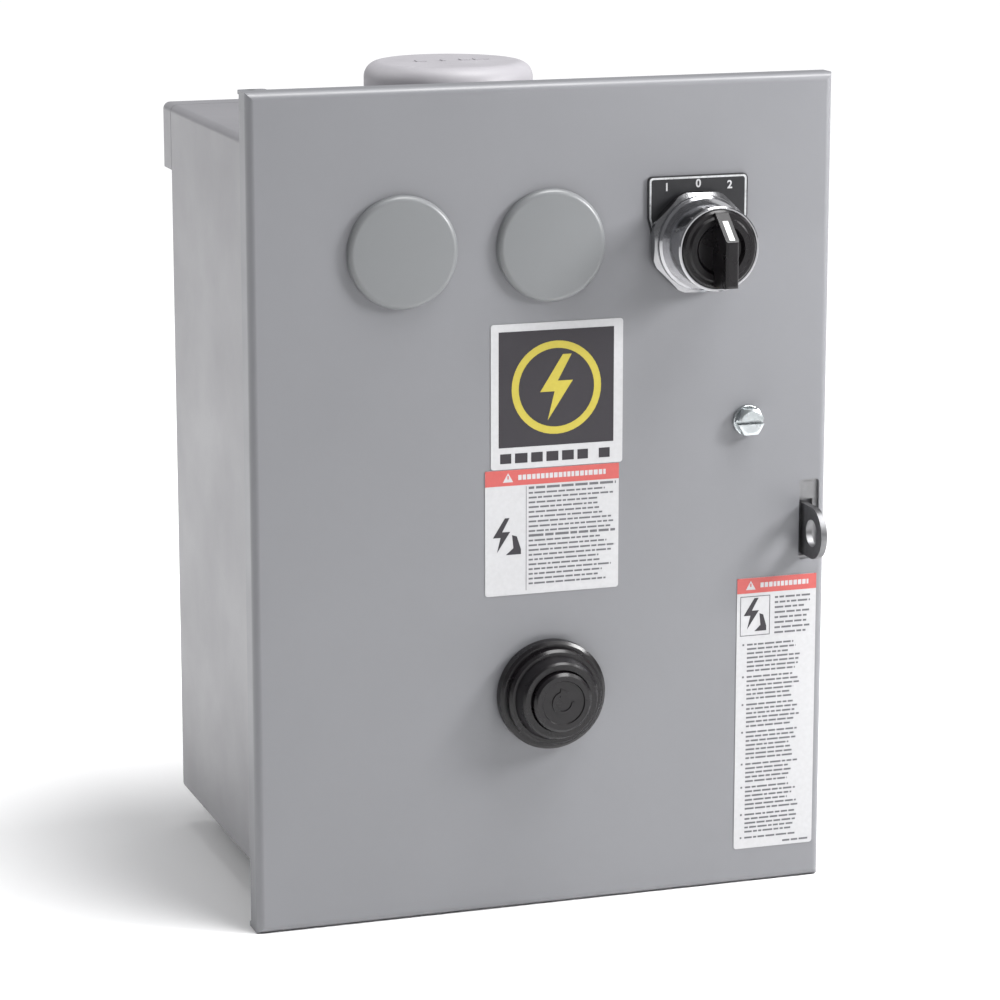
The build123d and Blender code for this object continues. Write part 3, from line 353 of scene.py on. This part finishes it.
# ---------------------------------------------------------------- flat artwork
class Art:
    """Printed shapes on the door's face: filled outlines, each layer a little prouder than the last."""

    LAYER = 0.035 * MM

    def __init__(self, name, base_y, inks):
        self.name, self.base_y, self.inks = name, base_y, inks
        self.mesh = bmesh.new()

    def fill(self, points, ink, layer, hole=None):
        """A filled (x, z) outline in millimetres; hole is a matching inner outline."""
        y = self.base_y - layer * self.LAYER
        outer = [self.mesh.verts.new((x * MM, y, z * MM)) for x, z in points]
        if hole is None:
            faces = [self.mesh.faces.new(outer)]
        else:
            inner = [self.mesh.verts.new((x * MM, y, z * MM)) for x, z in hole]
            count = len(outer)
            faces = [self.mesh.faces.new((outer[i], outer[(i + 1) % count], inner[(i + 1) % count], inner[i]))
                     for i in range(count)]
        for face in faces:
            face.material_index = self.inks.index(ink)

    def rect(self, x0, x1, z0, z1, ink, layer):
        self.fill([(x0, z0), (x1, z0), (x1, z1), (x0, z1)], ink, layer)

    def words(self, x0, x1, z, height, ink, layer, seed, full=False, widths=(1.6, 6.5), gap=0.7):
        """One line of greeked text: a row of small blocks; widths and gap are in block heights."""
        draw = random.Random(seed)
        end = x1 if full else x1 - draw.random() * (x1 - x0) * 0.22
        x = x0
        while x < end:
            wide = min(height * draw.uniform(*widths), end - x)
            self.rect(x, x + wide, z, z + height, ink, layer)
            x += wide + height * gap

    def finish(self, body):
        bmesh.ops.recalc_face_normals(self.mesh, faces=self.mesh.faces)
        for face in self.mesh.faces:
            if face.normal.y > 0:
                face.normal_flip()
        data = bpy.data.meshes.new(self.name)
        self.mesh.to_mesh(data)
        self.mesh.free()
        for ink in self.inks:
            data.materials.append(INKS[ink])
        obj = bpy.data.objects.new(self.name, data)
        bpy.context.scene.collection.objects.link(obj)
        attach(obj, body)


def circle(cx, cz, r, count=48):
    return [(cx + r * math.cos(2 * math.pi * i / count), cz + r * math.sin(2 * math.pi * i / count))
            for i in range(count)]


def bolt(cx, cz, size):
    """A plain lightning bolt, size millimetres tall."""
    shape = [(0.10, 0.5), (-0.26, -0.06), (-0.03, -0.06), (-0.14, -0.5),
             (0.26, 0.10), (0.02, 0.10), (0.24, 0.5)]
    return [(cx + x * size, cz + z * size) for x, z in shape]


LABEL_Y = DOOR_FRONT - 0.25 * MM
BAND_DEPTH = 6.3


def upper_label():
    """The charcoal panel with a plain yellow bolt mark, over a line of blocks."""
    lo, hi = label_box(0)
    art = Art("label_mark_panel", LABEL_Y, ["film", "black", "yellow", "text"])
    left, right = lo.x + 3.2, hi.x - 3.8
    bottom, top = lo.z + 8.6, hi.z - 3.0
    ring_r, ring_wide, bolt_tall = 18.5, 2.9, 26.0
    art.rect(left, right, bottom, top, "black", 1)
    cx, cz = (left + right) / 2, (bottom + top) / 2
    art.fill(circle(cx, cz, ring_r), "yellow", 2, circle(cx, cz, ring_r - ring_wide))
    art.fill(bolt(cx, cz, bolt_tall), "yellow", 2)
    x, gap, block_foot, block_top = left + 0.6, 1.5, lo.z + 2.3, lo.z + 6.2
    for wide in (4.6, 5.2, 4.8, 5.0, 4.9, 4.4):
        art.rect(x, x + wide, block_foot, block_top, "black", 1)
        x += wide + gap
    art.rect(x + 3.0, x + 7.6, block_foot, block_top, "black", 1)
    art.finish("door")


def band(art, lo, hi, depth, seed):
    """The red heading band with a white triangle and a row of white blocks."""
    art.rect(lo.x, hi.x, hi.z - depth, hi.z, "red", 1)
    cx, cz = lo.x + (hi.x - lo.x) * 0.17, hi.z - depth / 2
    art.fill([(cx - 2.1, cz - 1.7), (cx + 2.1, cz - 1.7), (cx, cz + 2.0)], "film", 2)
    art.rect(cx - 0.28, cx + 0.28, cz - 0.5, cz + 0.9, "red", 3)
    art.words(cx + 4.2, hi.x - (hi.x - lo.x) * 0.1, cz - 1.0, 2.0, "film", 2, seed, True, (0.55, 0.85), 0.22)


def pictogram(art, x0, x1, z0, z1):
    """A plain hazard picture: a bolt striking down at a block."""
    cx, cz = (x0 + x1) / 2, (z0 + z1) / 2
    tall, wide = z1 - z0, x1 - x0
    art.fill(bolt(cx - wide * 0.14, cz + tall * 0.06, tall * 0.84), "black", 1)
    block = [(-0.02, 0.08), (0.42, 0.08), (0.42, 0.2), (0.3, 0.52), (0.16, 0.56), (0.2, 0.24)]
    art.fill([(cx + wide * x, z0 + tall * z) for x, z in block], "black", 1)


def lower_label():
    lo, hi = label_box(1)
    art = Art("label_hazard_centre", LABEL_Y, ["film", "red", "text", "black"])
    band(art, lo, hi, BAND_DEPTH, 11)
    column, top = lo.x + 17.2, hi.z - BAND_DEPTH
    pictogram(art, lo.x + 1.6, column - 1.2, lo.z + 15.0, lo.z + 31.5)
    art.rect(column - 0.35, column - 0.1, lo.z + 1.5, top - 0.6, "text", 1)
    pitch = 1.92
    count = int((top - lo.z - 1.8) / pitch)
    for i in range(count):
        z = top - 1.8 - i * pitch
        heading = i in (0, 10)
        art.words(column + 0.8, hi.x - 1.2, z, 1.0 if heading else 0.72, "text", 1, 100 + i, full=heading)
    art.finish("door")


def side_label():
    lo, hi = label_box(2)
    art = Art("label_hazard_side", LABEL_Y, ["film", "red", "text", "black"])
    band(art, lo, hi, BAND_DEPTH, 12)
    top = hi.z - BAND_DEPTH
    box_w, box_h, line_wide = 13.0, 16.5, 0.35
    x0, z0 = lo.x + 1.4, top - 1.2 - box_h
    frame_out = [(x0, z0), (x0 + box_w, z0), (x0 + box_w, z0 + box_h), (x0, z0 + box_h)]
    frame_in = [(x0 + line_wide, z0 + line_wide), (x0 + box_w - line_wide, z0 + line_wide),
                (x0 + box_w - line_wide, z0 + box_h - line_wide), (x0 + line_wide, z0 + box_h - line_wide)]
    art.fill(frame_out, "text", 1, frame_in)
    pictogram(art, x0 + 0.6, x0 + box_w - 0.6, z0 + 0.6, z0 + box_h - 0.6)
    for i in range(8):
        art.words(x0 + box_w + 2.0, hi.x - 2.6, top - 2.8 - i * 2.1, 0.8, "text", 1, 200 + i, full=i < 2)
    z, line = z0 - 4.0, 0
    for paragraph in (7, 6, 6, 7, 5, 6, 5, 6):
        for row in range(paragraph):
            if z < lo.z + 4.0:
                break
            if row == 0:
                art.rect(lo.x + 2.6, lo.x + 3.4, z, z + 0.8, "text", 1)
            art.words(lo.x + 4.6, hi.x - 6.5, z, 0.75, "text", 1, 300 + line)
            z -= 1.82
            line += 1
        z -= 0.7
    art.words(hi.x - 13.0, hi.x - 1.8, lo.z + 1.4, 0.8, "text", 1, 401, full=True)
    art.finish("door")


def label_box(index):
    """Corners of one label's sheet, in millimetres: upper centre, lower centre or side."""
    verts = [v.co for v in NODES["door_labels"].data.vertices]
    side_reach, centre_seam = 45, 17.45
    split_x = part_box("door_labels")[1].x - side_reach * MM
    side = [v for v in verts if v.x > split_x]
    centre = [v for v in verts if v.x <= split_x]
    split_z = centre_seam * MM
    group = ([v for v in centre if v.z > split_z], [v for v in centre if v.z <= split_z], side)[index]
    lo = Vector([min(v[i] for v in group) for i in range(3)]) / MM
    hi = Vector([max(v[i] for v in group) for i in range(3)]) / MM
    return lo, hi


# ---------------------------------------------------------------- legend plate
def inset(points, by):
    """A convex outline moved inward, corner by corner."""
    moved = []
    count = len(points)
    for i in range(count):
        a, b, c = (Vector(points[(i + k) % count]) for k in (-1, 0, 1))
        d0, d1 = (b - a).normalized(), (c - b).normalized()
        n0, n1 = Vector((-d0.y, d0.x)), Vector((-d1.y, d1.x))
        turn = n0 + n1
        moved.append(tuple(b + turn * (by / (1 + n0.dot(n1)))))
    return moved


def rounded(points, radius, steps=6):
    """Replaces each corner of an outline by an arc."""
    made = []
    count = len(points)
    for i in range(count):
        a, b, c = (Vector(points[(i + k) % count]) for k in (-1, 0, 1))
        d0, d1 = (a - b).normalized(), (c - b).normalized()
        half = math.acos(max(-1.0, min(1.0, d0.dot(d1)))) / 2
        reach = radius / math.tan(half)
        p0, p1 = b + d0 * reach, b + d1 * reach
        for k in range(steps + 1):
            t = k / steps
            made.append(tuple(p0 * (1 - t) ** 2 + b * 2 * t * (1 - t) + p1 * t ** 2))
    return made


def legend_art():
    """The silver border and the numbers 1, 0 and 2 round the selector."""
    lo, hi = (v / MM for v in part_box("selector_legend_plate"))
    knob_lo, knob_hi = (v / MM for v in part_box("selector_knob"))
    cx, cz = (knob_lo.x + knob_hi.x) / 2, (knob_lo.z + knob_hi.z) / 2
    half, top, waist, foot = (hi.x - lo.x) / 2, hi.z - cz, 9.6, 15.5
    outline = [(cx - half, cz + waist), (cx - foot, lo.z), (cx + foot, lo.z), (cx + half, cz + waist),
               (cx + half, cz + top), (cx - half, cz + top)]
    art = Art("legend_border", lo.y * MM, ["silver"])
    art.fill(rounded(inset(outline, 0.5), 1.6), "silver", 1, rounded(inset(outline, 1.25), 1.1))
    art.finish("door")
    for text, across, below in (("1", -13.2, 4.4), ("0", 0.0, 3.4), ("2", 13.2, 4.4)):
        digit(text, cx + across, hi.z - below, lo.y)


def digit(text, x, z, front):
    """One number standing upright at (x, z) on the legend plate."""
    curve = bpy.data.curves.new(f"legend_number_{text}", "FONT")
    curve.body, curve.size, curve.extrude = text, 4.4 * MM, 0.03 * MM
    curve.align_x, curve.align_y, curve.offset = "CENTER", "CENTER", 0.1 * MM
    source = bpy.data.objects.new("number_source", curve)
    bpy.context.scene.collection.objects.link(source)
    bpy.context.view_layer.update()
    data = bpy.data.meshes.new_from_object(source.evaluated_get(bpy.context.evaluated_depsgraph_get()))
    bpy.data.objects.remove(source)
    place = Matrix.Translation((x * MM, (front - 0.05) * MM, z * MM))
    data.transform(place @ Matrix.Rotation(math.radians(90), 4, "X"))
    data.materials.clear()
    data.materials.append(INKS["film"])
    obj = bpy.data.objects.new(f"legend_number_{text}", data)
    bpy.context.scene.collection.objects.link(obj)
    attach(obj, "door")


def pointer_mark():
    """The white insert let into the sloping end of the knob's ridge, over the bright spot there: part pointer
    insert, part painted highlight.
    """
    lo, hi = (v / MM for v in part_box("selector_knob"))
    cx, cz = (lo.x + hi.x) / 2, (lo.z + hi.z) / 2
    ridge_depth, ridge_edge, ridge_top = 12.0, 0.8, 4.5
    face_y, face_z, tip_z = lo.y + ridge_depth, hi.z - ridge_edge, cz + ridge_top
    top, foot = Vector((face_y, face_z)), Vector((lo.y, tip_z))
    along = (foot - top).normalized()
    proud = Vector((-along.y, along.x)) * -0.12
    start, end = top + along * 4.4 + proud, top + (foot - top) * 0.93 + proud
    mesh = bmesh.new()
    half = 1.1
    corners = [(cx - half, *start), (cx + half, *start), (cx + half, *end), (cx - half, *end)]
    top_ring = [mesh.verts.new(Vector(c) * MM) for c in corners]
    sunk = [mesh.verts.new((Vector(c) - Vector((0.0, proud.x, proud.y)) * 4) * MM) for c in corners]
    mesh.faces.new(top_ring)
    for i in range(4):
        mesh.faces.new((top_ring[i], sunk[i], sunk[(i + 1) % 4], top_ring[(i + 1) % 4]))
    bmesh.ops.recalc_face_normals(mesh, faces=mesh.faces)
    obj = mesh_object("pointer_insert_and_highlight", mesh, INKS["white"])
    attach(obj, "knob")


# ---------------------------------------------------------------- springs
def coil_points(x, z, r, y0, y1, turns, steps=28):
    """The centre line of a compression spring along y, its end coils wound close."""
    points = []
    open_share, end_share = 0.82, 0.09
    total = int(turns * steps)
    for i in range(total + 1):
        t = i / total
        angle = 2 * math.pi * turns * t
        close = 1.0 / turns
        squeezed = min(max((t - close) / (1 - 2 * close), 0.0), 1.0)
        along = open_share * squeezed + end_share * (min(t, close) + max(t - 1 + close, 0.0)) / close
        points.append(Vector((x + r * math.cos(angle), y0 + (y1 - y0) * along, z + r * math.sin(angle))))
    return points


def add_wire(mesh, points, radius, sides=10):
    """A round wire along a line of points, its ends closed."""
    rings = []
    for i, point in enumerate(points):
        along = (points[min(i + 1, len(points) - 1)] - points[max(i - 1, 0)]).normalized()
        across = along.cross(Vector((0.0, 1.0, 0.0))).normalized()
        other = along.cross(across)
        rings.append([mesh.verts.new((point + across * (radius * math.cos(2 * math.pi * k / sides))
                                      + other * (radius * math.sin(2 * math.pi * k / sides))) * MM)
                      for k in range(sides)])
    for low, high in zip(rings, rings[1:]):
        for k in range(sides):
            mesh.faces.new((low[k], low[(k + 1) % sides], high[(k + 1) % sides], high[k]))
    mesh.faces.new(rings[0])
    mesh.faces.new(rings[-1])


def springs(node, count, wire, turns, body):
    """Wound springs in a CAD node's place, attached to the given body."""
    lo, hi = (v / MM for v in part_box(node))
    side_gap, end_gap, slack = 0.02, 0.05, 0.1
    outer = (hi.z - lo.z) / 2
    centres = [lo.x + outer, hi.x - outer][:count]
    mesh = bmesh.new()
    for x in centres:
        line = coil_points(x, (lo.z + hi.z) / 2, outer - wire / 2 - side_gap,
                           lo.y + wire / 2 + end_gap, hi.y - wire / 2 - end_gap, turns)
        add_wire(mesh, line, wire / 2)
    bmesh.ops.recalc_face_normals(mesh, faces=mesh.faces)
    obj = mesh_object(node + "_wound", mesh, MATERIALS["spring_steel"])
    obj.data.shade_smooth()
    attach(obj, body)
    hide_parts(node)
    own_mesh(obj)


# ---------------------------------------------------------------- studio
def area_light(name, place, target, size, energy):
    """A square panel facing its target."""
    data = bpy.data.lights.new(name, "AREA")
    data.shape, data.size, data.energy = "SQUARE", size, energy
    obj = bpy.data.objects.new(name, data)
    obj.location = place
    obj.rotation_mode = "QUATERNION"
    obj.rotation_quaternion = (Vector(target) - Vector(place)).to_track_quat("-Z", "Y")
    bpy.context.scene.collection.objects.link(obj)


def sun_light(name, direction, strength, spread):
    data = bpy.data.lights.new(name, "SUN")
    data.energy, data.angle = strength, math.radians(spread)
    obj = bpy.data.objects.new(name, data)
    obj.rotation_mode = "QUATERNION"
    obj.rotation_quaternion = Vector(direction).to_track_quat("-Z", "Y")
    bpy.context.scene.collection.objects.link(obj)


def studio():
    scene = bpy.context.scene
    scene.view_settings.view_transform = "Standard"
    world = bpy.data.worlds.new("studio")
    world.use_nodes = True
    background = world.node_tree.nodes["Background"]
    background.inputs["Color"].default_value = (0.96, 0.97, 1.0, 1.0)
    background.inputs["Strength"].default_value = 0.235
    scene.world = world
    sun_light("sky_from_upper_right", (-0.32, 0.24, -0.95), 3.2, 30.0)
    area_light("panel_right", (0.58, -0.50, 0.34), (0.1, -0.17, 0.04), 0.2, 6.2)
    area_light("panel_left", (-1.1, 0.62, 0.9), (-0.1, 0.0, 0.08), 1.2, 9.4)
    area_light("panel_top", (0.0, 0.0, 1.1), (0.0, -0.05, 0.1), 0.7, 3.6)


def floor():
    mesh = bmesh.new()
    reach = 12.0
    corners = [mesh.verts.new((x, y, FLOOR_Z - 0.2 * MM)) for x, y in
               ((-reach, -reach), (reach, -reach), (reach, reach), (-reach, reach))]
    mesh.faces.new(corners)
    mesh_object("studio_floor", mesh, floor_material())


def camera():
    """A long lens from the front left and a little above."""
    pitch, yaw = 12.487, 18.634
    data = bpy.data.cameras.new("view")
    data.lens, data.sensor_width = 134.1, 36.0
    data.clip_start, data.clip_end = 0.05, 60.0
    obj = bpy.data.objects.new("view", data)
    obj.location = (-0.4732, -1.5145, 0.3203)
    obj.rotation_euler = (math.radians(90 - pitch), 0.0, math.radians(-yaw))
    bpy.context.scene.collection.objects.link(obj)
    bpy.context.scene.camera = obj


camera()
studio()
floor()
dress_nodes()
upper_label()
lower_label()
side_label()
legend_art()
pointer_mark()
springs("reset_spring", 1, 0.9, 5, "door")
springs("return_springs", 2, 0.8, 9, "cabinet")
